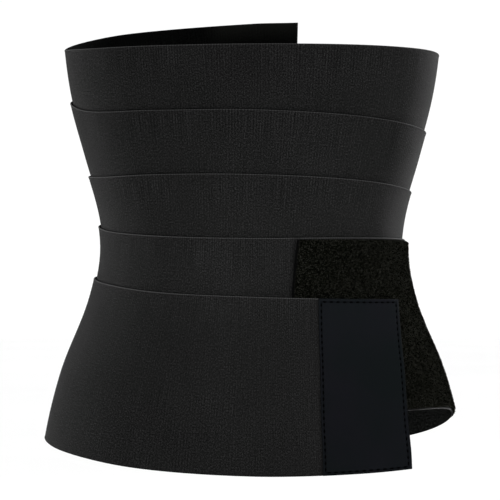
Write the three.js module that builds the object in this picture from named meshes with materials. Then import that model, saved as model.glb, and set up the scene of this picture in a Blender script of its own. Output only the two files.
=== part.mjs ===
// Waist wrap: one long elastic strip wound round a waist and closed by hook and loop.
// Millimetres, +Z up, front towards -Y. The origin is the middle of the waist, at its narrowest.
// Angles are in degrees, counter-clockwise seen from above: 0 is the right side, 270 the front.

import * as THREE from 'three';
import { mergeVertices } from 'three/addons/utils/BufferGeometryUtils.js';

// Driving dimensions
const ELASTIC_THICKNESS = 1.2;
const LAYER_STEP = 1.8; // how far each turn lies outside the turn before it
const LOOP_THICKNESS = 2.3;
const HOOK_THICKNESS = 1.0;
const PATCH_THICKNESS = 1.0;
const SEWN_GAP = 0.4; // between the strip and a piece sewn on its outside
const FASTENED_GAP = 0.5; // between the hooks and what lies on either side of them
const HOOK_INSET = 3.0; // the hook pad stays this far inside the patch's outline
const LOOP_INSET = 1.4; // the loop panel stays this far inside the strip's two long edges

// The wound strip's path: it starts at the back and winds down, turn outside turn
const FULL_TURN = 360;
const LAST_TURN = 4 * FULL_TURN;
const LOOP_TURN = 3 * FULL_TURN;
const START_ANGLE = 69;
const LOOP_END_ANGLE = LAST_TURN + 60;
const TAB_RISE_START = LAST_TURN + 248; // the last turn rises here onto the loop panel
const TAB_RISE_END = LAST_TURN + 284;
const END_CUT_SPREAD = 60; // the slant of the end cut fades out over this angle

// The shape that the strip is stretched over: half width, and depth to the front and to the back
const FORM_SQUARENESS = 2.25; // exponent of the oval section, where 2 is an ellipse
const FORM = [
  { level: -170, halfWidth: 139.7, front: 101, back: 114 },
  { level: -145, halfWidth: 137.5, front: 100, back: 113 },
  { level: -98, halfWidth: 126.4, front: 94, back: 105 },
  { level: -47, halfWidth: 106.5, front: 83, back: 87 },
  { level: -15, halfWidth: 100.2, front: 79, back: 77 },
  { level: 8, halfWidth: 101.8, front: 79, back: 75 },
  { level: 55, halfWidth: 114.6, front: 83, back: 79 },
  { level: 98, halfWidth: 125.8, front: 88, back: 85 },
  { level: 128, halfWidth: 130.3, front: 91, back: 89 },
  { level: 165, halfWidth: 132.5, front: 92, back: 92 },
];

// Height of the strip's upper edge on each turn, and the strip's stretched width there
const START_STATION = { angle: START_ANGLE, width: 126, upperEdge: 157.2 };
const STATIONS = [
  { side: 'back', angle: 90, width: 126, upperEdges: [156.5, 110.5, 55, 16, -29] },
  { side: 'back left', angle: 140, width: 122.5, upperEdges: [147.9, 101.5, 47, 10, -31.5] },
  { side: 'left', angle: 180, width: 118.5, upperEdges: [131, 93.5, 41, 6, -30.5] },
  { side: 'left of front', angle: 202, width: 119.8, upperEdges: [127.9, 84.9, 39.4, 1.6, -34.5] },
  { side: 'front left', angle: 230, width: 121.2, upperEdges: [127.8, 84.2, 40.5, -1.7, -39.9] },
  { side: 'front', angle: 270, width: 121.8, upperEdges: [128.4, 84.1, 40.3, -3.1, -42.9] },
  { side: 'front right', angle: 315, width: 121.8, upperEdges: [128.5, 80.2, 36.9, -2.7] },
  { side: 'right', angle: 350, width: 124.8, upperEdges: [127.2, 72.6, 30.5, -3.4] },
  { side: 'behind right', angle: 362, width: 129.4, upperEdges: [126, 70.4, 28.7, -5] },
  { side: 'back right', angle: 405, width: 130, upperEdges: [119.5, 63, 23, -28] },
];
const TAB_STATIONS = [
  { angle: LAST_TURN + 305, width: 119.8, upperEdge: -44.4 },
  { angle: LAST_TURN + 330, width: 117.6, upperEdge: -45.1 },
];

// Edges that run across the strip, as angles at shares of its width from the upper edge
const CROSS_EDGES = [
  { across: 0, loopStart: 290.2, patchStart: 296.4, stripEnd: 329.9 },
  { across: 0.33, loopStart: 287.2, patchStart: 294.6, stripEnd: 324.7 },
  { across: 0.66, loopStart: 285.8, patchStart: 293.5, stripEnd: 322.0 },
  { across: 1, loopStart: 285.3, patchStart: 293.3, stripEnd: 321.7 },
];

// Surface finishes
const FINISHES = {
  elastic: { color: 0x1e1e1f, roughness: 0.85, metalness: 0 },
  loopPile: { color: 0x10110e, roughness: 0.95, metalness: 0 },
  coatedCloth: { color: 0x16181b, roughness: 0.6, metalness: 0 },
  hookTape: { color: 0x121212, roughness: 0.7, metalness: 0 },
};

// Fineness of the facets
const COLUMN_ANGLE = 7.5; // divides a full turn, so that the turns' facets lie parallel
const BAND_COLUMNS = 227;
const ROWS_ACROSS = 8;
const LOOP_COLUMNS = 22;
const PATCH_COLUMNS = 8;
const HOOK_COLUMNS = 4;
const WALK_STEPS = 24; // steps of the walk from the strip's upper edge to its lower edge

const { degToRad, radToDeg, lerp, clamp, smoothstep } = THREE.MathUtils;

// A smooth curve through the named columns of a table, read at any value of its key column
function smoothTable(rows, key, columns) {
  const places = rows.map((row) => row[key]);
  const values = rows.flatMap((row) => columns.map((column) => row[column]));
  const curve = new THREE.CubicInterpolant(places, values, columns.length);
  return (place) => Array.from(curve.evaluate(place));
}

// The stations in the order that the strip passes them, keyed by its running angle
function runningStations() {
  const running = [START_STATION];
  for (let turn = 0; turn * FULL_TURN <= LAST_TURN; turn += 1) {
    for (const { angle, width, upperEdges } of STATIONS) {
      if (turn < upperEdges.length) {
        running.push({ angle: angle + turn * FULL_TURN, width, upperEdge: upperEdges[turn] });
      }
    }
  }
  return running.concat(TAB_STATIONS);
}

const formAt = smoothTable(FORM, 'level', ['halfWidth', 'front', 'back']);
const stripAt = smoothTable(runningStations(), 'angle', ['upperEdge', 'width']);
const crossEdgesAt = smoothTable(CROSS_EDGES, 'across', ['loopStart', 'patchStart', 'stripEnd']);

// Distance from the axis to the form, at an angle in radians and a level
function formRadius(angle, level) {
  const [halfWidth, front, back] = formAt(level);
  const depth = Math.sin(angle) < 0 ? front : back;
  const sideways = Math.abs(Math.cos(angle)) / halfWidth;
  const endways = Math.abs(Math.sin(angle)) / depth;
  return (sideways ** FORM_SQUARENESS + endways ** FORM_SQUARENESS) ** (-1 / FORM_SQUARENESS);
}

// Level of a point on the strip, measured down the form's slope from the upper edge
function stripLevel(runningAngle, across) {
  const angle = degToRad(runningAngle);
  const [upperEdge, width] = stripAt(runningAngle);
  const step = (across * width) / WALK_STEPS;
  let level = upperEdge;
  for (let count = 0; count < WALK_STEPS; count += 1) {
    const slope = formRadius(angle, level) - formRadius(angle, level - 1);
    level -= step / Math.hypot(1, slope);
  }
  return level;
}

// How much further out than its layer the last turn lies, where the fastening is under it
const FASTENING_STACK = SEWN_GAP + LOOP_THICKNESS + HOOK_THICKNESS + 2 * FASTENED_GAP;
const TAB_RISE = FASTENING_STACK - (LAYER_STEP - ELASTIC_THICKNESS);

// A point on the wound strip, or off its inner face by an outward distance
function stripPoint(runningAngle, across, outward) {
  const angle = degToRad(runningAngle);
  const level = stripLevel(runningAngle, across);
  const layer = (LAYER_STEP * (runningAngle - START_ANGLE)) / FULL_TURN;
  const rise = TAB_RISE * smoothstep(runningAngle, TAB_RISE_START, TAB_RISE_END);
  const radius = formRadius(angle, level) + layer + rise + outward;
  return new THREE.Vector3(radius * Math.cos(angle), radius * Math.sin(angle), level);
}

// A closed sheet: a flat box whose grid is bent by a function of along, across and through,
// each from 0 to 1, so that through runs from the inner face to the outer one
function bentSheet(columns, rows, place) {
  const box = new THREE.BoxGeometry(1, 1, 1, columns, 1, rows);
  box.translate(0.5, 0.5, 0.5);
  box.deleteAttribute('normal');
  box.deleteAttribute('uv');
  const sheet = mergeVertices(box);
  const corners = sheet.getAttribute('position');
  for (let index = 0; index < corners.count; index += 1) {
    const along = corners.getX(index);
    const through = corners.getY(index);
    const across = corners.getZ(index);
    const point = place(along, across, through);
    corners.setXYZ(index, point.x, point.y, point.z);
  }
  sheet.computeVertexNormals();
  return sheet;
}

function namedMesh(name, geometry, finish) {
  const mesh = new THREE.Mesh(geometry, new THREE.MeshStandardMaterial(finish));
  mesh.name = name;
  return mesh;
}

// The long strip, whose last stretch is sheared to the slant of its end cut
function elasticBand() {
  const squareEnd = START_ANGLE + BAND_COLUMNS * COLUMN_ANGLE;
  const geometry = bentSheet(BAND_COLUMNS, ROWS_ACROSS, (along, across, through) => {
    const squareAngle = lerp(START_ANGLE, squareEnd, along);
    const [, , stripEnd] = crossEdgesAt(across);
    const shear = clamp(1 - (squareEnd - squareAngle) / END_CUT_SPREAD, 0, 1);
    const angle = squareAngle + shear * (LAST_TURN + stripEnd - squareEnd);
    return stripPoint(angle, across, through * ELASTIC_THICKNESS);
  });
  return namedMesh('elastic_band', geometry, FINISHES.elastic);
}

// The pile panel on the outside of the second-last turn, nearly as wide as the strip
function loopPanel() {
  const [, width] = stripAt(LOOP_TURN + CROSS_EDGES[0].loopStart);
  const inset = LOOP_INSET / width;
  const geometry = bentSheet(LOOP_COLUMNS, ROWS_ACROSS, (along, across, through) => {
    const insetAcross = lerp(inset, 1 - inset, across);
    const [loopStart] = crossEdgesAt(insetAcross);
    const angle = lerp(LOOP_TURN + loopStart, LOOP_END_ANGLE, along);
    return stripPoint(angle, insetAcross, ELASTIC_THICKNESS + SEWN_GAP + through * LOOP_THICKNESS);
  });
  return namedMesh('loop_panel', geometry, FINISHES.loopPile);
}

// The smooth patch on the outside of the strip's end, flush with its cut
function endPatch() {
  const geometry = bentSheet(PATCH_COLUMNS, ROWS_ACROSS, (along, across, through) => {
    const [, patchStart, stripEnd] = crossEdgesAt(across);
    const angle = LAST_TURN + lerp(patchStart, stripEnd, along);
    return stripPoint(angle, across, ELASTIC_THICKNESS + SEWN_GAP + through * PATCH_THICKNESS);
  });
  return namedMesh('end_patch', geometry, FINISHES.coatedCloth);
}

// The hidden hook half of the fastening, on the inside of the strip's end
function hookPad() {
  const [, width] = stripAt(LAST_TURN + CROSS_EDGES[0].patchStart);
  const inset = HOOK_INSET / width;
  const geometry = bentSheet(HOOK_COLUMNS, ROWS_ACROSS, (along, across, through) => {
    const insetAcross = lerp(inset, 1 - inset, across);
    const [, patchStart, stripEnd] = crossEdgesAt(insetAcross);
    const level = stripLevel(LAST_TURN + patchStart, insetAcross);
    const insetAngle = radToDeg(HOOK_INSET / formRadius(degToRad(patchStart), level));
    const angle = LAST_TURN + lerp(patchStart + insetAngle, stripEnd - insetAngle, along);
    return stripPoint(angle, insetAcross, through * HOOK_THICKNESS - HOOK_THICKNESS - FASTENED_GAP);
  });
  return namedMesh('hook_pad', geometry, FINISHES.hookTape);
}

const waistWrap = new THREE.Group();
waistWrap.name = 'waist_wrap';
waistWrap.add(elasticBand(), loopPanel(), endPatch(), hookPad());

export default waistWrap;
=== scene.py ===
"""Looks of the waist wrap: an elastic strip wound round a waist, with its hook-and-loop fastening.

Shapes are worked out in millimetres in the frame's axes: +Z up, front towards -Y.
Angles are in degrees, counter-clockwise seen from above: 0 is the right side, 270 the front.
Materials, lights and the floor are in metres, and colours are in linear light.
"""

import math

import bpy
import numpy as np
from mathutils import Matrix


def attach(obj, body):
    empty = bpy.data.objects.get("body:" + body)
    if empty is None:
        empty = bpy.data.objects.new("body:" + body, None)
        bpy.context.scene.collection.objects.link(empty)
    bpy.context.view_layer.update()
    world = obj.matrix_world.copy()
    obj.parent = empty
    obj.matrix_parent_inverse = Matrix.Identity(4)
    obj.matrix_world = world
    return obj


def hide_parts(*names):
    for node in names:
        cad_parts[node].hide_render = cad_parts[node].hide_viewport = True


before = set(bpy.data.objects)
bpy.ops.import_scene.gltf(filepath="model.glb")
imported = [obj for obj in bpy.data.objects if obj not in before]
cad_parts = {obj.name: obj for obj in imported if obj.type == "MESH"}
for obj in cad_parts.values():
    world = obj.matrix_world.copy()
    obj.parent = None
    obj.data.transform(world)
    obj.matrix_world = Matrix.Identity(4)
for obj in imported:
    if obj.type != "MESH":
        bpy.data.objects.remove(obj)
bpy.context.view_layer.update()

MM = 0.001
rng = np.random.default_rng(seed=7)

# Sizes of the cloth
ELASTIC_THICKNESS = 1.2
LAYER_STEP = 1.8
LOOP_THICKNESS = 2.3
HOOK_THICKNESS = 1.0
PATCH_THICKNESS = 1.0
SEWN_GAP = 0.4
FASTENED_GAP = 0.5
HOOK_INSET = 3.0
LOOP_INSET = 1.4
STRIP_WIDTH = 122.0

# The strip's path
FULL_TURN = 360.0
LOOP_TURN = 3 * FULL_TURN
LAST_TURN = 4 * FULL_TURN
START_ANGLE = 69.0
FRONT_ANGLE = 270.0
RIGHT_ANGLE = 352.0
SOLID_COLUMN_ANGLE = 7.5
SOLID_COLUMNS = 227
SQUARE_END = START_ANGLE + SOLID_COLUMNS * SOLID_COLUMN_ANGLE
LOOP_END_ANGLE = LAST_TURN + 60
TAB_RISE_START = LAST_TURN + 248
TAB_RISE_END = LAST_TURN + 284
END_CUT_SPREAD = 60.0

# The shape that the strip is stretched over
FORM_SQUARENESS = 2.25
FORM = [
    dict(level=-170, half_width=139.7, front=101, back=114),
    dict(level=-145, half_width=137.5, front=100, back=113),
    dict(level=-98, half_width=126.4, front=94, back=105),
    dict(level=-47, half_width=106.5, front=83, back=87),
    dict(level=-15, half_width=100.2, front=79, back=77),
    dict(level=8, half_width=101.8, front=79, back=75),
    dict(level=55, half_width=114.6, front=83, back=79),
    dict(level=98, half_width=125.8, front=88, back=85),
    dict(level=128, half_width=130.3, front=91, back=89),
    dict(level=165, half_width=132.5, front=92, back=92),
]

# Slight waves round the form: size, number of waves, lean in radians for each millimetre, phase
WOBBLES = [
    dict(size=0.16, waves=5, lean=0.031, phase=0.4),
    dict(size=0.11, waves=9, lean=-0.052, phase=1.9),
    dict(size=0.07, waves=17, lean=0.083, phase=3.1),
]

# Height of the strip's upper edge on each turn, and its stretched width there
START_STATION = dict(angle=START_ANGLE, width=126, upper_edge=157.2)
STATIONS = [
    dict(side="back", angle=90, width=126, upper_edges=[156.5, 110.5, 55, 16, -29]),
    dict(side="back left", angle=140, width=122.5, upper_edges=[147.9, 101.5, 47, 10, -31.5]),
    dict(side="left", angle=180, width=118.5, upper_edges=[131, 93.5, 41, 6, -30.5]),
    dict(side="left of front", angle=202, width=119.8, upper_edges=[127.9, 84.9, 39.4, 1.6, -34.5]),
    dict(side="front left", angle=230, width=121.2, upper_edges=[127.8, 84.2, 40.5, -1.7, -39.9]),
    dict(side="front", angle=270, width=121.8, upper_edges=[128.4, 84.1, 40.3, -3.1, -42.9]),
    dict(side="front right", angle=315, width=121.8, upper_edges=[128.5, 80.2, 36.9, -2.7]),
    dict(side="right", angle=350, width=124.8, upper_edges=[127.2, 72.6, 30.5, -3.4]),
    dict(side="behind right", angle=362, width=129.4, upper_edges=[126, 70.4, 28.7, -5]),
    dict(side="back right", angle=405, width=130, upper_edges=[119.5, 63, 23, -28]),
]
TAB_STATIONS = [
    dict(angle=LAST_TURN + 305, width=119.8, upper_edge=-44.4),
    dict(angle=LAST_TURN + 330, width=117.6, upper_edge=-45.1),
]

# Edges that run across the strip, at shares of its width from the upper edge
CROSS_EDGES = [
    dict(across=0, loop_start=290.2, patch_start=296.4, strip_end=329.9),
    dict(across=0.33, loop_start=287.2, patch_start=294.6, strip_end=324.7),
    dict(across=0.66, loop_start=285.8, patch_start=293.5, strip_end=322.0),
    dict(across=1, loop_start=285.3, patch_start=293.3, strip_end=321.7),
]


# Shape of the wound strip


def smooth_table(rows, key, columns):
    """A smooth curve through the named columns of a table, read at any value of its key column."""
    place = np.array([row[key] for row in rows], float)
    value = np.array([[row[column] for column in columns] for row in rows], float)
    step_slope = np.diff(value, axis=0) / np.diff(place)[:, None]
    slope = np.concatenate([step_slope[:1], (step_slope[:-1] + step_slope[1:]) / 2, step_slope[-1:]])

    def read(wanted):
        wanted = np.clip(np.asarray(wanted, float), place[0], place[-1])
        low = np.clip(np.searchsorted(place, wanted, side="right") - 1, 0, len(place) - 2)
        span = (place[low + 1] - place[low])[..., None]
        share = (wanted - place[low])[..., None] / span
        rest = 1 - share
        return (
            (1 + 2 * share) * rest**2 * value[low]
            + share * rest**2 * span * slope[low]
            + share**2 * (1 + 2 * rest) * value[low + 1]
            - share**2 * rest * span * slope[low + 1]
        )

    return read


def running_stations():
    """The stations in the order that the strip passes them, keyed by its running angle."""
    running = [START_STATION]
    for turn in range(int(LAST_TURN / FULL_TURN) + 1):
        for station in STATIONS:
            if turn < len(station["upper_edges"]):
                angle = station["angle"] + turn * FULL_TURN
                upper_edge = station["upper_edges"][turn]
                running.append(dict(angle=angle, width=station["width"], upper_edge=upper_edge))
    return running + TAB_STATIONS


form_at = smooth_table(FORM, "level", ["half_width", "front", "back"])
strip_at = smooth_table(running_stations(), "angle", ["upper_edge", "width"])
cross_edges_at = smooth_table(CROSS_EDGES, "across", ["loop_start", "patch_start", "strip_end"])


def smoothstep(value, low, high):
    share = np.clip((value - low) / (high - low), 0, 1)
    return share * share * (3 - 2 * share)


def unit(vectors):
    return vectors / np.linalg.norm(vectors, axis=-1, keepdims=True)


def form_radius(angle, level):
    """Distance from the axis to the form, at an angle in radians and a level."""
    half_width, front, back = np.moveaxis(form_at(level), -1, 0)
    depth = np.where(np.sin(angle) < 0, front, back)
    sideways = np.abs(np.cos(angle)) / half_width
    endways = np.abs(np.sin(angle)) / depth
    return (sideways**FORM_SQUARENESS + endways**FORM_SQUARENESS) ** (-1 / FORM_SQUARENESS)


def strip_level(running, across):
    """Level of a point on the strip, measured down the form's slope from the upper edge."""
    walk_steps = 24
    angle = np.radians(running)
    upper_edge, width = np.moveaxis(strip_at(running), -1, 0)
    step = across * width / walk_steps
    level = upper_edge + np.zeros_like(step)
    for _ in range(walk_steps):
        slope = form_radius(angle, level) - form_radius(angle, level - 1)
        level = level - step / np.hypot(1, slope)
    return level


def cloth_wobble(angle, level):
    """Slight unevenness of taut cloth, alike in every layer so that the layers stay apart."""
    offset = 0
    for wave in WOBBLES:
        offset = offset + wave["size"] * np.sin(wave["waves"] * angle + wave["lean"] * level + wave["phase"])
    return offset


FASTENING_STACK = SEWN_GAP + LOOP_THICKNESS + HOOK_THICKNESS + 2 * FASTENED_GAP
TAB_RISE = FASTENING_STACK - (LAYER_STEP - ELASTIC_THICKNESS)


def strip_point(running, across, outward):
    """Points on the wound strip, off its inner face by an outward distance."""
    running, across, outward = np.broadcast_arrays(running, across, outward)
    angle = np.radians(running)
    level = strip_level(running, across)
    layer = LAYER_STEP * (running - START_ANGLE) / FULL_TURN
    rise = TAB_RISE * smoothstep(running, TAB_RISE_START, TAB_RISE_END)
    radius = form_radius(angle, level) + layer + rise + outward + cloth_wobble(angle, level)
    return np.stack([radius * np.cos(angle), radius * np.sin(angle), level], axis=-1)


# Mesh building


def mesh_object(name, points, faces, material):
    """A mesh piece from points in millimetres, which rides on the one body."""
    mesh = bpy.data.meshes.new(name)
    mesh.from_pydata((np.asarray(points) * MM).tolist(), [], faces)
    mesh.materials.append(material)
    mesh.polygons.foreach_set("use_smooth", np.ones(len(mesh.polygons), bool))
    piece = bpy.data.objects.new(name, mesh)
    bpy.context.scene.collection.objects.link(piece)
    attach(piece, "root")
    return piece


def both_faces(outer, inner):
    """A sheet's values in rings that run down its outer face and back up its inner one."""
    return np.concatenate([outer, inner[:, ::-1]], axis=1)


def grid_faces(columns, ring):
    """Faces of a closed sheet from its rings of points: its two faces, its edges and its ends."""
    column = np.arange(columns - 1)[:, None]
    place = np.arange(ring)[None, :]
    following = (place + 1) % ring
    corners = [
        column * ring + place,
        column * ring + following,
        (column + 1) * ring + following,
        (column + 1) * ring + place,
    ]
    sides = np.stack([np.broadcast_to(corner, (columns - 1, ring)) for corner in corners], -1)
    near = np.arange(ring // 2 - 1)
    far = ring - 1 - near
    start = np.stack([near, far, far - 1, near + 1], -1)
    last = (columns - 1) * ring
    end = last + np.stack([near, near + 1, far - 1, far], -1)
    return np.concatenate([sides.reshape(-1, 4), start, end]).tolist()


def sheet_object(name, outer, inner, material):
    """A closed sheet between two grids of points, one for each face."""
    points = both_faces(outer, inner)
    columns, ring = points.shape[:2]
    return mesh_object(name, points.reshape(-1, 3), grid_faces(columns, ring), material)


def tube_faces(rings, sides):
    """Faces of one closed tube: walls between its rings of points and a cap at each end."""
    faces = []
    for ring in range(rings - 1):
        low, high = ring * sides, (ring + 1) * sides
        for side in range(sides):
            following = (side + 1) % sides
            faces.append([low + side, low + following, high + following, high + side])
    first_cap = list(range(sides))[::-1]
    last_cap = [(rings - 1) * sides + side for side in range(sides)]
    return faces + [first_cap, last_cap]


def triangles(faces):
    return [[face[0], face[k], face[k + 1]] for face in faces for k in range(1, len(face) - 1)]


def tube_field(name, spots, tube, material):
    """Many tubes in one mesh. Each spot is a point of every tube, and tube lists one tube's faces."""
    points = np.stack(spots, axis=1)
    count, per_tube = points.shape[:2]
    firsts = range(0, count * per_tube, per_tube)
    faces = [[first + corner for corner in face] for first in firsts for face in tube]
    return mesh_object(name, points.reshape(-1, 3), faces, material)


def add_coordinates(piece, name, values):
    """A two-column layer on the piece's points, for its material to read."""
    layer = piece.data.uv_layers.new(name=name)
    loop_points = np.zeros(len(piece.data.loops), np.int32)
    piece.data.loops.foreach_get("vertex_index", loop_points)
    layer.uv.foreach_set("vector", values.reshape(-1, 2)[loop_points].astype(np.float32).ravel())


def add_marker(piece, name, values):
    """A number on each of the piece's points, for its material to read."""
    marker = piece.data.attributes.new(name, "FLOAT", "POINT")
    marker.data.foreach_set("value", np.asarray(values, np.float32).ravel())


def edge_spacing(length, edge_steps, middle_count):
    """Distances across a sheet: fine steps at both edges and even ones between them."""
    middle = np.linspace(edge_steps[-1], length - edge_steps[-1], middle_count)[1:-1]
    near = np.array(edge_steps)
    return np.concatenate([near, middle, length - near[::-1]])


def edge_distance(along, across, length, width):
    """Distance to a sheet's nearest edge, from shares along and across it."""
    from_end = np.minimum(along, 1 - along) * length
    from_side = np.minimum(across, 1 - across) * width
    return np.minimum(from_side, from_end)


def rounded_half(distance, thickness, radius):
    """Half the thickness of a sheet at a distance from its edge, which is rounded off."""
    least = 0.2
    share = np.clip(distance / radius, 0, 1)
    return thickness / 2 * np.maximum(least, np.sqrt(1 - (1 - share) ** 2))


# Nodes of the materials

# Places of the colour sockets among the mix node's inputs and outputs
MIX_FIRST = 6
MIX_SECOND = 7
MIX_RESULT = 2


def new_material(name):
    material = bpy.data.materials.new(name)
    material.use_nodes = True
    tree = material.node_tree
    tree.nodes.clear()
    output = tree.nodes.new("ShaderNodeOutputMaterial")
    shader = tree.nodes.new("ShaderNodeBsdfPrincipled")
    tree.links.new(shader.outputs["BSDF"], output.inputs["Surface"])
    return material, tree, shader


def add_node(tree, kind, inputs=None, **settings):
    """A node with its settings made and its inputs set, or linked where a socket is given."""
    node = tree.nodes.new(kind)
    for name, value in settings.items():
        setattr(node, name, value)
    for name, value in (inputs or {}).items():
        if isinstance(value, bpy.types.NodeSocket):
            tree.links.new(value, node.inputs[name])
        else:
            node.inputs[name].default_value = value
    return node


def object_coordinates(tree):
    return add_node(tree, "ShaderNodeTexCoord").outputs["Object"]


def marker_value(tree, name):
    return add_node(tree, "ShaderNodeAttribute", attribute_name=name).outputs["Fac"]


def math_node(tree, operation, first, second=0.0):
    node = add_node(tree, "ShaderNodeMath", {0: first, 1: second}, operation=operation)
    return node.outputs[0]


def swing(tree, value, middle, gain):
    """How far a value lies from its middle, times a gain."""
    return math_node(tree, "MULTIPLY", math_node(tree, "SUBTRACT", value, middle), gain)


def map_range(tree, value, source, result):
    """A value moved from one range to another and held inside it. Each range is its two ends."""
    inputs = {
        "Value": value,
        "From Min": source[0],
        "From Max": source[1],
        "To Min": result[0],
        "To Max": result[1],
    }
    return add_node(tree, "ShaderNodeMapRange", inputs).outputs["Result"]


def noise_texture(tree, coordinates, scale, detail):
    """Soft noise with about as many cells to the metre as its scale."""
    inputs = {"Vector": coordinates, "Scale": scale, "Detail": detail}
    return add_node(tree, "ShaderNodeTexNoise", inputs).outputs["Fac"]


def wave_texture(tree, inputs, direction):
    node = add_node(tree, "ShaderNodeTexWave", inputs, wave_type="BANDS", bands_direction=direction)
    return node.outputs["Fac"]


def scaled(tree, coordinates, scale):
    return add_node(tree, "ShaderNodeMapping", {"Vector": coordinates, "Scale": scale}).outputs["Vector"]


def grey(level):
    return (level, level, level)


def color_ramp(tree, factor, stops):
    node = add_node(tree, "ShaderNodeValToRGB", {"Fac": factor})
    elements = node.color_ramp.elements
    while len(elements) < len(stops):
        elements.new(0.5)
    for element, (place, color) in zip(elements, stops):
        element.position = place
        element.color = (*color, 1)
    return node.outputs["Color"]


def mix_color(tree, factor, first, second):
    """First colour at factor 0 and second at 1; a colour is a socket or three numbers."""

    def whole(color):
        return color if isinstance(color, bpy.types.NodeSocket) else (*color, 1)

    inputs = {"Factor": factor, MIX_FIRST: whole(first), MIX_SECOND: whole(second)}
    return add_node(tree, "ShaderNodeMix", inputs, data_type="RGBA").outputs[MIX_RESULT]


def set_color(tree, shader, color):
    tree.links.new(color, shader.inputs["Base Color"])


def set_bump(tree, shader, height, strength, distance):
    bump = add_node(tree, "ShaderNodeBump", {"Strength": strength, "Distance": distance, "Height": height})
    tree.links.new(bump.outputs["Normal"], shader.inputs["Normal"])


def set_inputs(shader, values):
    for name, value in values.items():
        shader.inputs[name].default_value = value


# Material of the elastic strip

RIB_PITCH = 0.0018
WAVE_LENGTH_AT_SCALE_ONE = 0.314159
# Dark colour of the painted shade on the strip's outer face
PAINTED_SHADE_COLOR = grey(0.0012)
ELASTIC_GLOSS = 0.005


def elastic_weave(tree, weave, across):
    """The cloth's ribs, its relief, and the tone that the relief and soft clouds give it."""
    rib_share = 0.55
    rib_middle = 0.5 + rib_share / 2
    speckle_gain = 1.4
    cloud_gain = 0.14
    rib_inputs = {
        "Vector": weave,
        "Scale": WAVE_LENGTH_AT_SCALE_ONE / RIB_PITCH,
        "Distortion": 1.6,
        "Detail": 1.0,
        "Detail Scale": 3.0,
    }
    ribs = wave_texture(tree, rib_inputs, "X")
    streaks = noise_texture(tree, scaled(tree, weave, (1.0, 0.05, 1.0)), 700.0, 1.0)
    speckle = noise_texture(tree, scaled(tree, weave, (1.05, 0.75, 1.0)), 1300.0, 2.0)
    clouds = noise_texture(tree, weave, 18.0, 3.0)
    patches = noise_texture(tree, weave, 60.0, 2.0)

    depth_down = map_range(tree, across, (0.001, 0.022), (0.33, 0.16))
    depth_in_patches = map_range(tree, patches, (0.3, 0.7), (0.35, 1.5))
    rib_depth = math_node(tree, "MULTIPLY", depth_down, depth_in_patches)
    uneven_ribs = math_node(tree, "ADD", math_node(tree, "MULTIPLY", ribs, rib_share), streaks)
    rib_part = swing(tree, uneven_ribs, rib_middle, rib_depth)
    speckle_part = swing(tree, speckle, 0.5, speckle_gain)
    cloud_part = swing(tree, clouds, 0.5, cloud_gain)
    relief = math_node(tree, "ADD", rib_part, speckle_part)
    tone = math_node(tree, "ADD", math_node(tree, "ADD", relief, cloud_part), 0.5)
    return ribs, relief, tone


def elastic_outer_color(tree, ribs, tone, selvedge):
    """Outer face: pale selvedge thread with a painted highlight on the upper edges, painted shade on most
    lower edges, and painted shade above the next turn and beside the panel.
    """
    thread_tones = [(0.15, grey(0.0017)), (0.5, grey(0.0057)), (0.95, grey(0.0204))]
    # Pale selvedge thread, brightened further as a painted highlight where light falls on the edge
    pale_bead_highlight_tones = [(0.2, grey(0.019)), (0.8, grey(0.034))]
    thread = color_ramp(tree, tone, thread_tones)
    pale_bead_highlight = color_ramp(tree, ribs, pale_bead_highlight_tones)
    # Painted shade darkens the selvedges where the highlight is off
    edge_color = mix_color(tree, marker_value(tree, "pale_thread_and_highlight"), PAINTED_SHADE_COLOR, pale_bead_highlight)
    edged = mix_color(tree, selvedge, thread, edge_color)
    # Painted shade in the gap just above the next turn's upper edge
    painted_crease_shade = map_range(tree, marker_value(tree, "above_next_edge"), (0.0001, 0.0008), (0.5, 0.0))
    # Painted shadow cast by the loop panel onto the strip beside its start
    panel_shade = map_range(tree, marker_value(tree, "from_panel"), (0.0, 0.0035), (0.6, 0.0))
    shade = math_node(tree, "MAXIMUM", painted_crease_shade, panel_shade)
    return mix_color(tree, shade, edged, PAINTED_SHADE_COLOR)


def inner_face_painted_light_and_shade(tree, weave, tone, selvedge, lower_turns):
    """Inner face: painted shade makes it nearly black, with a painted pool of light at the free end's upper
    edge, and lower turns painted lighter and speckled.
    """
    # Dark copy of the weave: painted shade for the inside
    thread_tones = [(0.30, grey(0.0002)), (0.75, (0.0032, 0.0035, 0.0033))]
    # Painted light: a pool falling through the top opening onto the free end's upper edge
    painted_light_color = (0.0085, 0.0088, 0.0078)
    # Lower turns painted lighter than the first, with a random grain
    grain_and_painted_light_tones = [
        (0.43, grey(0.0001)),
        (0.50, (0.0017, 0.0019, 0.0017)),
        (0.57, (0.0068, 0.0071, 0.0067)),
    ]
    edge_color = grey(0.0004)
    place = add_node(tree, "ShaderNodeSeparateXYZ", {"Vector": weave})
    near_end = map_range(tree, place.outputs["X"], (0.048, 0.062), (1.0, 0.0))
    near_top = map_range(tree, place.outputs["Y"], (0.0005, 0.013), (0.55, 0.0))
    painted_light_amount = math_node(tree, "MULTIPLY", near_top, near_end)
    shaded_first_turn = mix_color(tree, painted_light_amount, color_ramp(tree, tone, thread_tones), painted_light_color)
    grain = noise_texture(tree, weave, 850.0, 1.0)
    color = mix_color(tree, lower_turns, shaded_first_turn, color_ramp(tree, grain, grain_and_painted_light_tones))
    return mix_color(tree, selvedge, color, edge_color)


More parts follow.
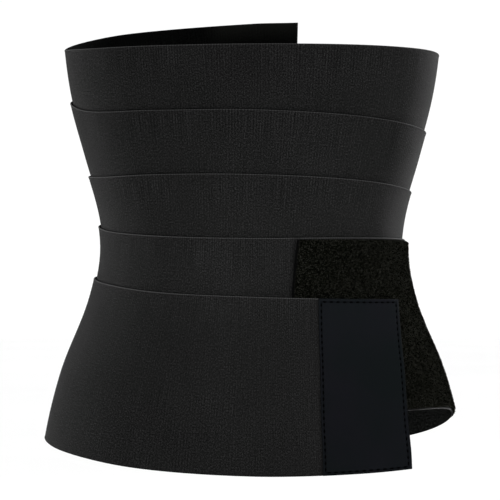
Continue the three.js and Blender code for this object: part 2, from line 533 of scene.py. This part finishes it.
def elastic_material():
    """Black woven elastic: fine upright ribs, a speckled weave and lighter selvedges, whose light is partly
    a painted highlight; shade and light are painted on both faces.
    """
    material, tree, shader = new_material("elastic")
    weave = add_node(tree, "ShaderNodeUVMap", uv_map="weave").outputs["UV"]
    place = add_node(tree, "ShaderNodeSeparateXYZ", {"Vector": weave})
    along, across = place.outputs["X"], place.outputs["Y"]
    from_lower_edge = math_node(tree, "SUBTRACT", STRIP_WIDTH * MM, across)
    from_edge = math_node(tree, "MINIMUM", across, from_lower_edge)
    selvedge = map_range(tree, from_edge, (0.0003, 0.0008), (1.0, 0.0))
    lower_turns = map_range(tree, along, (0.7, 1.4), (0.0, 1.0))
    inner_face = marker_value(tree, "inner_face")

    ribs, relief, tone = elastic_weave(tree, weave, across)
    outer = elastic_outer_color(tree, ribs, tone, selvedge)
    inner = inner_face_painted_light_and_shade(tree, weave, tone, selvedge, lower_turns)
    set_color(tree, shader, mix_color(tree, inner_face, outer, inner))
    set_bump(tree, shader, relief, strength=0.5, distance=0.0003)
    lower_inner = math_node(tree, "MULTIPLY", inner_face, lower_turns)
    gloss = map_range(tree, lower_inner, (0.0, 1.0), (ELASTIC_GLOSS, 0.0))
    tree.links.new(gloss, shader.inputs["Specular IOR Level"])
    set_inputs(shader, {"Roughness": 0.85})
    return material


# Materials of the fastening


def pile_material(name, shade):
    """Fuzzy loop pile, black with an olive tint and scattered lighter loops."""
    tones = [
        (0.44, (0.0002, 0.0002, 0.0001)),
        (0.52, (0.0016, 0.0018, 0.0010)),
        (0.60, (0.0066, 0.0069, 0.0049)),
        (0.68, (0.0320, 0.0322, 0.0282)),
    ]
    backing_color = grey(0.0016)
    material, tree, shader = new_material(name)
    tone = noise_texture(tree, object_coordinates(tree), 1900.0, 1.0)
    shaded = [(place, tuple(shade * part for part in color)) for place, color in tones]
    pile = color_ramp(tree, tone, shaded)
    set_color(tree, shader, mix_color(tree, marker_value(tree, "bare_edge"), pile, backing_color))
    set_bump(tree, shader, tone, strength=0.5, distance=0.0004)
    set_inputs(shader, {"Diffuse Roughness": 1.0, "Roughness": 0.95, "Specular IOR Level": 0.0})
    return material


def patch_material():
    """Smooth bluish black coated cloth with a fine grain, with painted shade in the groove along its seam
    and along its rim at the strip's end and lower edge.
    """
    cloth_tones = [(0.35, (0.0031, 0.0039, 0.0043)), (0.65, (0.0039, 0.0041, 0.0051))]
    # Painted shade in the groove along the seam
    painted_seam_shade = (0.0012, 0.0014, 0.0018)
    # Painted shade along the rim at the strip's end and lower edge, which keeps a highlight off it
    painted_rim_shade = (0.0002, 0.0003, 0.0004)
    line_width = (0.0003, 0.0009)
    material, tree, shader = new_material("coated_cloth")
    coordinates = object_coordinates(tree)
    clouds = noise_texture(tree, coordinates, 26.0, 2.0)
    grain_inputs = {"Vector": coordinates, "Scale": 1300.0}
    grain = add_node(tree, "ShaderNodeTexVoronoi", grain_inputs, feature="SMOOTH_F1").outputs["Distance"]
    cloth = color_ramp(tree, clouds, cloth_tones)
    from_seam = math_node(tree, "ABSOLUTE", marker_value(tree, "from_seam"))
    with_seam_shade = mix_color(tree, map_range(tree, from_seam, line_width, (0.6, 0.0)), cloth, painted_seam_shade)
    rim_shade_amount = map_range(tree, marker_value(tree, "from_rim"), line_width, (0.95, 0.0))
    set_color(tree, shader, mix_color(tree, rim_shade_amount, with_seam_shade, painted_rim_shade))
    roughness = map_range(tree, clouds, (0.3, 0.7), (0.72, 0.82))
    tree.links.new(roughness, shader.inputs["Roughness"])
    set_bump(tree, shader, grain, strength=0.12, distance=0.0002)
    set_inputs(shader, {"Specular IOR Level": 0.001})
    return material


def thread_material():
    """Black sewing thread with a twist."""
    tones = [(0.2, grey(0.0002)), (0.9, grey(0.0009))]
    material, tree, shader = new_material("sewing_thread")
    twist_inputs = {"Vector": object_coordinates(tree), "Scale": 700.0, "Distortion": 0.5}
    twist = wave_texture(tree, twist_inputs, "DIAGONAL")
    set_color(tree, shader, color_ramp(tree, twist, tones))
    set_bump(tree, shader, twist, strength=0.4, distance=0.0001)
    set_inputs(shader, {"Roughness": 0.8, "Specular IOR Level": 0.0})
    return material


def hook_material():
    """Black nylon hook tape."""
    tones = [(0.35, grey(0.005)), (0.7, grey(0.011))]
    material, tree, shader = new_material("hook_tape")
    grain = noise_texture(tree, object_coordinates(tree), 800.0, 2.0)
    set_color(tree, shader, color_ramp(tree, grain, tones))
    set_bump(tree, shader, grain, strength=0.3, distance=0.0002)
    set_inputs(shader, {"Roughness": 0.5, "Specular IOR Level": 0.3})
    return material


# The long elastic strip

BAND_COLUMN_ANGLE = 2.5
BAND_ROWS = 22
SELVEDGE_STEPS = [0, 0.12, 0.35, 0.65, 1.0, 1.4, 2.0, 3.2]
SELVEDGE_BEAD = 0.2
BEAD_PLACE = 0.8
BEAD_SPREAD = 0.5
HEM_LENGTH = 2.8
HEM_SLOPE = 0.3
HEM_SWELL = 0.16
HEM_COLUMNS = [0, 0.08, 0.25, 0.5, 0.9, 1.3, 1.55, 1.7, 1.85, 2.05]
# Share of the pale thread and painted highlight given to the lower selvedge beside the loop panel
LOWER_EDGE_PALE_AND_HIGHLIGHT = 0.7


def strip_markers(running, across, outer):
    """Values for the strip's material, for each column and row of its outer face: where shade is painted and
    where the selvedge gets its painted highlight.
    """
    has_next = running + FULL_TURN < SQUARE_END
    next_edge = strip_at(running + FULL_TURN)[..., 0]
    # Height above the next turn's upper edge, for the painted shade just above it
    above_next_edge = np.where(has_next, outer[..., 2] - next_edge, STRIP_WIDTH)
    # Distance from the loop panel's start, for its painted shadow
    loop_start = LOOP_TURN + cross_edges_at(across)[..., 0]
    from_panel = np.abs(np.radians(running - loop_start)) * np.hypot(outer[..., 0], outer[..., 1])
    by_loop_panel = (running > LOOP_TURN + FRONT_ANGLE) & (running < LOOP_TURN + RIGHT_ANGLE)
    # The upper selvedges get the pale thread and painted highlight; of the lower ones only those beside the
    # loop panel do, and less
    pale_thread_and_highlight = np.where(across < 0.5, 1.0, LOWER_EDGE_PALE_AND_HIGHLIGHT * by_loop_panel)
    return {
        "above_next_edge": above_next_edge * MM,
        "from_panel": from_panel * MM,
        "pale_thread_and_highlight": pale_thread_and_highlight,
    }


def elastic_band():
    """The strip, and its length along its middle."""
    a_hair = 0.001
    whole = np.arange(START_ANGLE + BAND_COLUMN_ANGLE, SQUARE_END + a_hair, BAND_COLUMN_ANGLE)
    square = np.concatenate([START_ANGLE + np.array(HEM_COLUMNS), whole])[:, None]
    distance = edge_spacing(STRIP_WIDTH, SELVEDGE_STEPS, BAND_ROWS)[None, :]
    from_edge = np.minimum(distance, STRIP_WIDTH - distance)
    across = distance / STRIP_WIDTH
    middle_line = strip_point(square[:, 0], 0.5, 0.0)
    steps = np.linalg.norm(np.diff(middle_line, axis=0), axis=1)
    length = np.concatenate([[0], np.cumsum(steps)])[:, None]

    strip_end = LAST_TURN + cross_edges_at(across)[..., 2]
    shear = np.clip(1 - (SQUARE_END - square) / END_CUT_SPREAD, 0, 1)
    running = square + shear * (strip_end - SQUARE_END)
    hem = HEM_SWELL * smoothstep(-length, -HEM_LENGTH, HEM_SLOPE - HEM_LENGTH)
    half = rounded_half(np.minimum(from_edge, length), ELASTIC_THICKNESS, ELASTIC_THICKNESS / 2)
    bead = SELVEDGE_BEAD * np.exp(-(((from_edge - BEAD_PLACE) / BEAD_SPREAD) ** 2))
    middle = ELASTIC_THICKNESS / 2
    outer = strip_point(running, across, middle + half + np.maximum(bead, hem))
    inner = strip_point(running, across, middle - half - hem)
    piece = sheet_object("elastic_strip", outer, inner, elastic_material())

    grid = outer.shape[:2]
    lean = np.gradient(middle_line[:, 2], length[:, 0])[:, None]
    along = length - lean * (distance - STRIP_WIDTH / 2)
    weave = np.stack(np.broadcast_arrays(along, distance), -1)
    add_coordinates(piece, "weave", both_faces(weave, weave) * MM)
    add_marker(piece, "inner_face", both_faces(np.zeros(grid), np.ones(grid)))
    for name, values in strip_markers(running, across, outer).items():
        values = np.broadcast_to(values, grid)
        add_marker(piece, name, both_faces(values, values))
    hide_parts("elastic_band")
    return piece, length[-1, 0]


# The fuzzy loop panel

LOOP_LENGTH = 236.0
LOOP_GRAIN = 0.9
LOOP_ROUGHNESS = 0.16
LOOP_SETTLING = 0.35
LOOP_EDGE_RADIUS = 0.7
LOOP_BACKING = 1.2
LOOP_BARE_EDGE = 2.0
BARE_SHARE = 0.4
BARE_RAGGEDNESS = 0.4
BASE_SHADE = 0.71
YARN_SHADE = 0.43

FIBRES_PER_PIECE = 9000
FIBRE_SIDES = 3
FIBRE_ALONG = (0.009, 0.996)
FIBRE_ACROSS = (0.006, 0.994)
FIBRE_ROOT = 0.5
FIBRE_REACH = (0.2, 0.45)
FIBRE_HEIGHT = (0.5, 1.05)
FIBRE_LEAN = 0.25
FIBRE_RADIUS = (0.08, 0.14)
FIBRE_ARCH = [(-1.0, 0.0), (-0.55, 0.85), (0.55, 0.95), (1.0, 0.1)]
UPRIGHT = np.array([0.0, 0.0, 1.0])


def loop_surface(along, down, outward):
    """Points of the loop panel, which stops short of the strip's selvedges."""
    across = (LOOP_INSET + down * (STRIP_WIDTH - 2 * LOOP_INSET)) / STRIP_WIDTH
    loop_start = LOOP_TURN + cross_edges_at(across)[..., 0]
    running = loop_start + along * (LOOP_END_ANGLE - loop_start)
    return strip_point(running, across, ELASTIC_THICKNESS + SEWN_GAP + outward)


def loop_panel():
    """The panel's rough base, with a ragged bare edge at its start."""
    columns, rows = int(LOOP_LENGTH / LOOP_GRAIN), int(STRIP_WIDTH / LOOP_GRAIN)
    along = np.linspace(0, 1, columns)[:, None]
    down = np.linspace(0, 1, rows)[None, :]
    ragged = rng.normal(0, BARE_RAGGEDNESS, (1, rows))
    bare = 1 - smoothstep(along * LOOP_LENGTH + ragged, BARE_SHARE * LOOP_BARE_EDGE, LOOP_BARE_EDGE)
    thickness = LOOP_THICKNESS - bare * (LOOP_THICKNESS - LOOP_BACKING)
    from_edge = edge_distance(along, down, LOOP_LENGTH, STRIP_WIDTH)
    half = rounded_half(from_edge, thickness, LOOP_EDGE_RADIUS)
    grain = rng.normal(0, LOOP_ROUGHNESS, (columns, rows))
    outer = loop_surface(along, down, thickness / 2 + half + (1 - bare) * (grain - LOOP_SETTLING))
    inner = loop_surface(along, down, thickness / 2 - half)
    material = pile_material("loop_pile", BASE_SHADE)
    piece = sheet_object("loop_pile_base", outer, inner, material)
    add_marker(piece, "bare_edge", both_faces(bare, bare))
    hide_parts("loop_panel")
    return piece


def loop_fibres(name, material):
    """Small arches of yarn that stand out of the pile, each a thin closed tube."""
    count = FIBRES_PER_PIECE
    along = rng.uniform(*FIBRE_ALONG, count)
    down = rng.uniform(*FIBRE_ACROSS, count)
    foot = loop_surface(along, down, LOOP_THICKNESS - FIBRE_ROOT)
    above = loop_surface(along, down, LOOP_THICKNESS + FIBRE_ROOT)
    normal = unit(above - foot)
    east = unit(np.cross(UPRIGHT, normal))
    north = np.cross(normal, east)
    turn = rng.uniform(0, 2 * math.pi, count)[:, None]
    lead = east * np.cos(turn) + north * np.sin(turn)
    cross = np.cross(normal, lead)
    reach = rng.uniform(*FIBRE_REACH, count)[:, None]
    height = rng.uniform(*FIBRE_HEIGHT, count)[:, None]
    lean = rng.normal(0, FIBRE_LEAN, count)[:, None]
    radius = rng.uniform(*FIBRE_RADIUS, count)[:, None]
    spots = []
    for step, lift in FIBRE_ARCH:
        center = foot + lead * reach * step + normal * height * lift + cross * lean * lift
        for side in range(FIBRE_SIDES):
            spoke = 2 * math.pi * side / FIBRE_SIDES
            around = cross * math.cos(spoke) + (normal + lead * step) * math.sin(spoke)
            spots.append(center + around * radius)
    tube = triangles(tube_faces(len(FIBRE_ARCH), FIBRE_SIDES))
    return tube_field(name, spots, tube, material)


# The stitched end patch

PATCH_LENGTH = 64.5
PATCH_WIDTH = 118.5
PATCH_GRAIN = 0.75
PATCH_EDGE_STEPS = [0, 0.12, 0.35]
PATCH_EDGE_RADIUS = 0.5
SEAM_LEFT = 1.7
SEAM_RIGHT = 3.0
SEAM_TOP = 2.3
SEAM_BOTTOM = 1.9
SEAM_DEPTH = 0.22
SEAM_SPREAD = 0.6

STITCH_PITCH_DOWN = 4.15
STITCH_PITCH_ALONG = 4.9
STITCH_HALF_SHARE = 0.28
STITCH_RADIUS = 0.56
STITCH_TIP = 0.35
STITCH_BOW = 0.22
STITCH_SUNK = 0.1
STITCH_SIDES = 8
STITCH_RINGS = 7


def patch_surface(along, across, outward):
    patch_start, strip_end = np.moveaxis(cross_edges_at(across)[..., 1:], -1, 0)
    running = LAST_TURN + patch_start + along * (strip_end - patch_start)
    return strip_point(running, across, ELASTIC_THICKNESS + SEWN_GAP + outward)


def distance_from_seam(along, across):
    """Distance from the line of stitches, which is negative inside it."""
    beyond_left = SEAM_LEFT - along * PATCH_LENGTH
    beyond_right = SEAM_RIGHT - (1 - along) * PATCH_LENGTH
    beyond_top = SEAM_TOP - across * PATCH_WIDTH
    beyond_bottom = SEAM_BOTTOM - (1 - across) * PATCH_WIDTH
    return np.maximum(np.maximum(beyond_left, beyond_right), np.maximum(beyond_top, beyond_bottom))


def end_patch():
    """The patch, with a dent along its seam where the stitches pull it in."""
    columns, rows = int(PATCH_LENGTH / PATCH_GRAIN), int(PATCH_WIDTH / PATCH_GRAIN)
    along = (edge_spacing(PATCH_LENGTH, PATCH_EDGE_STEPS, columns) / PATCH_LENGTH)[:, None]
    across = (edge_spacing(PATCH_WIDTH, PATCH_EDGE_STEPS, rows) / PATCH_WIDTH)[None, :]
    from_edge = edge_distance(along, across, PATCH_LENGTH, PATCH_WIDTH)
    half = rounded_half(from_edge, PATCH_THICKNESS, PATCH_EDGE_RADIUS)
    middle = PATCH_THICKNESS / 2
    from_seam = distance_from_seam(along, across)
    groove = SEAM_DEPTH * np.exp(-((from_seam / SEAM_SPREAD) ** 2))
    outer = patch_surface(along, across, middle + half - groove)
    inner = patch_surface(along, across, middle - half)
    piece = sheet_object("end_patch_cloth", outer, inner, patch_material())
    add_marker(piece, "from_seam", both_faces(from_seam, from_seam) * MM)
    # Distance from the patch's end and lower edge, for its painted rim shade
    from_rim = np.minimum((1 - along) * PATCH_LENGTH, (1 - across) * PATCH_WIDTH)
    add_marker(piece, "from_rim", both_faces(from_rim, from_rim) * MM)
    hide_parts("end_patch")
    return piece


def even_shares(length, pitch):
    """Middles of the whole steps that a length holds, as shares of it."""
    count = int(length / pitch)
    return (np.arange(count) + 0.5) / count


def stitch_places():
    """Middle and half length of each stitch, as shares along and across the patch."""
    left, right = SEAM_LEFT / PATCH_LENGTH, 1 - SEAM_RIGHT / PATCH_LENGTH
    top, bottom = SEAM_TOP / PATCH_WIDTH, 1 - SEAM_BOTTOM / PATCH_WIDTH
    half_down = STITCH_HALF_SHARE * STITCH_PITCH_DOWN / PATCH_WIDTH
    half_along = STITCH_HALF_SHARE * STITCH_PITCH_ALONG / PATCH_LENGTH
    places = []
    for share in even_shares((bottom - top) * PATCH_WIDTH, STITCH_PITCH_DOWN):
        across = top + share * (bottom - top)
        places.append((left, across, 0, half_down))
        places.append((right, across, 0, half_down))
    for share in even_shares((right - left) * PATCH_LENGTH, STITCH_PITCH_ALONG):
        along = left + share * (right - left)
        places.append((along, top, half_along, 0))
        places.append((along, bottom, half_along, 0))
    return np.array(places).T


def patch_stitches():
    """Short stitches of black thread, each a small closed spindle half sunk in the seam."""
    well_above = 1.0
    small_step = 0.01
    seam_surface = PATCH_THICKNESS - SEAM_DEPTH
    along, across, half_along, half_across = stitch_places()
    spots = []
    for step in np.linspace(-1, 1, STITCH_RINGS):
        bow = 1 - step * step
        lift = seam_surface + STITCH_BOW * bow - STITCH_SUNK
        here = (along + step * half_along, across + step * half_across)
        further = (here[0] + small_step * half_along, here[1] + small_step * half_across)
        center = patch_surface(*here, lift)
        ahead = patch_surface(*further, lift)
        above = patch_surface(*here, seam_surface + well_above)
        normal = unit(above - center)
        cross = np.cross(normal, unit(ahead - center))
        radius = STITCH_RADIUS * (STITCH_TIP + (1 - STITCH_TIP) * math.sqrt(bow))
        for side in range(STITCH_SIDES):
            spoke = -2 * math.pi * side / STITCH_SIDES
            spots.append(center + radius * (cross * math.cos(spoke) + normal * math.sin(spoke)))
    tube = tube_faces(STITCH_RINGS, STITCH_SIDES)
    return tube_field("patch_stitches", spots, tube, thread_material())


# The hidden hook pad

PAD_LENGTH = PATCH_LENGTH - 2 * HOOK_INSET
PAD_WIDTH = PATCH_WIDTH - 2 * HOOK_INSET
PAD_EDGE_STEPS = [0, 0.12, 0.4]
PAD_EDGE_RADIUS = 0.5
PAD_COLUMNS = 32
PAD_ROWS = 60
HOOK_PITCH = 1.7
HOOK_SIDES = 4
HOOK_RINGS = [
    dict(outward=0.2, size=0.22),
    dict(outward=-0.23, size=0.12),
    dict(outward=-0.4, size=0.24),
]


def hook_surface(along, across, outward):
    inset_along, inset_across = HOOK_INSET / PATCH_LENGTH, HOOK_INSET / PATCH_WIDTH
    inner_along = inset_along + along * (1 - 2 * inset_along)
    inner_across = inset_across + across * (1 - 2 * inset_across)
    patch_start, strip_end = np.moveaxis(cross_edges_at(inner_across)[..., 1:], -1, 0)
    running = LAST_TURN + patch_start + inner_along * (strip_end - patch_start)
    return strip_point(running, inner_across, outward - HOOK_THICKNESS - FASTENED_GAP)


def hook_pad(material):
    along = (edge_spacing(PAD_LENGTH, PAD_EDGE_STEPS, PAD_COLUMNS) / PAD_LENGTH)[:, None]
    across = (edge_spacing(PAD_WIDTH, PAD_EDGE_STEPS, PAD_ROWS) / PAD_WIDTH)[None, :]
    from_edge = edge_distance(along, across, PAD_LENGTH, PAD_WIDTH)
    half = rounded_half(from_edge, HOOK_THICKNESS, PAD_EDGE_RADIUS)
    middle = HOOK_THICKNESS / 2
    outer = hook_surface(along, across, middle + half)
    inner = hook_surface(along, across, middle - half)
    pad = sheet_object("hook_pad_tape", outer, inner, material)
    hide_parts("hook_pad")
    return pad


def hook_field(material):
    """Small hooks on the pad's inner face, each a post with a wider head."""
    columns = even_shares(PAD_LENGTH, HOOK_PITCH)
    rows = even_shares(PAD_WIDTH, HOOK_PITCH)
    along, across = (grid.ravel() for grid in np.meshgrid(columns, rows, indexing="ij"))
    spots = []
    for ring in HOOK_RINGS:
        for side in range(HOOK_SIDES):
            spoke = 2 * math.pi * (side + 0.5) / HOOK_SIDES
            spot_along = along + ring["size"] * math.cos(spoke) / PAD_LENGTH
            spot_across = across + ring["size"] * math.sin(spoke) / PAD_WIDTH
            spots.append(hook_surface(spot_along, spot_across, ring["outward"]))
    tube = tube_faces(len(HOOK_RINGS), HOOK_SIDES)
    return tube_field("hook_field", spots, tube, material)


# Camera, at the photograph's height and distance

CAMERA_DISTANCE = 2000.0
CAMERA_LEVEL = -11.3
PIXELS_PER_MM = 1.41
IMAGE_PIXELS = 500
AXIS_PIXEL = 251.5
SENSOR_MM = 36.0


def add_camera():
    data = bpy.data.cameras.new("camera")
    data.sensor_width = SENSOR_MM
    data.lens = PIXELS_PER_MM * CAMERA_DISTANCE / IMAGE_PIXELS * SENSOR_MM
    camera = bpy.data.objects.new("camera", data)
    side = (IMAGE_PIXELS / 2 - AXIS_PIXEL) / PIXELS_PER_MM
    camera.location = (side * MM, -CAMERA_DISTANCE * MM, CAMERA_LEVEL * MM)
    camera.rotation_euler = (math.pi / 2, 0, 0)
    bpy.context.scene.collection.objects.link(camera)
    bpy.context.scene.camera = camera


# Floor, light and surroundings

FLOOR_LEVEL = -0.45
FLOOR_HALF_SIZE = 12.0
WHITE = (1, 1, 1, 1)
WORLD_STRENGTH = 1.03
OPEN_SPREAD = 180.0
MIDDLE = (0, 0, 0)
SOFTBOXES = [
    dict(name="rim_left", place=(-1.63, 0.79, 0.2), target=MIDDLE, size=(0.4, 1.6), power=121.0),
    dict(name="rim_right", place=(1.38, 1.22, 0.2), target=MIDDLE, size=(0.3, 1.6), power=175.0),
    dict(name="key", place=(1.53, -1.29, 0.1), target=MIDDLE, size=(0.5, 0.8), power=15.0),
    dict(
        name="waist",
        place=(0.1, -1.3, 0.5),
        target=(0, -0.09, -0.032),
        size=(1.4, 0.08),
        power=0.36,
        spread=9.0,
    ),
]


def floor_material():
    tones = [(0.3, grey(0.96)), (0.7, grey(0.98))]
    material, tree, shader = new_material("pale_floor")
    clouds = noise_texture(tree, object_coordinates(tree), 1.5, 2.0)
    set_color(tree, shader, color_ramp(tree, clouds, tones))
    set_inputs(shader, {"Roughness": 0.9, "Specular IOR Level": 0.1})
    return material


def add_floor():
    mesh = bpy.data.meshes.new("floor")
    signs = [(-1, -1), (1, -1), (1, 1), (-1, 1)]
    corners = [(x * FLOOR_HALF_SIZE, y * FLOOR_HALF_SIZE, FLOOR_LEVEL) for x, y in signs]
    mesh.from_pydata(corners, [], [[0, 1, 2, 3]])
    mesh.materials.append(floor_material())
    floor = bpy.data.objects.new("floor", mesh)
    bpy.context.scene.collection.objects.link(floor)


def add_softbox(name, place, target, size, power, spread=OPEN_SPREAD):
    """A rectangular light turned towards its target. A small spread keeps its light in a band."""
    data = bpy.data.lights.new(name, "AREA")
    data.shape = "RECTANGLE"
    data.size, data.size_y = size
    data.energy = power
    data.spread = math.radians(spread)
    light = bpy.data.objects.new(name, data)
    light.location = place
    direction = np.array(target) - np.array(place)
    flat = math.hypot(direction[0], direction[1])
    light.rotation_euler = (math.atan2(flat, -direction[2]), 0, math.atan2(-direction[0], direction[1]))
    bpy.context.scene.collection.objects.link(light)


def add_light():
    world = bpy.data.worlds.new("studio")
    bpy.context.scene.world = world
    world.use_nodes = True
    background = world.node_tree.nodes["Background"]
    background.inputs["Color"].default_value = WHITE
    background.inputs["Strength"].default_value = WORLD_STRENGTH
    for softbox in SOFTBOXES:
        add_softbox(**softbox)


# Building

band, band_length = elastic_band()
pile_base = loop_panel()
yarn = pile_material("loop_yarn", YARN_SHADE)
fibre_pieces = [loop_fibres(f"loop_pile_fibres_{number}", yarn) for number in (1, 2)]
patch = end_patch()
stitches = patch_stitches()
hook_tape_material = hook_material()
hook_tape = hook_pad(hook_tape_material)
hook_points = hook_field(hook_tape_material)

add_camera()
add_floor()
add_light()
bpy.context.scene.view_settings.view_transform = "Standard"
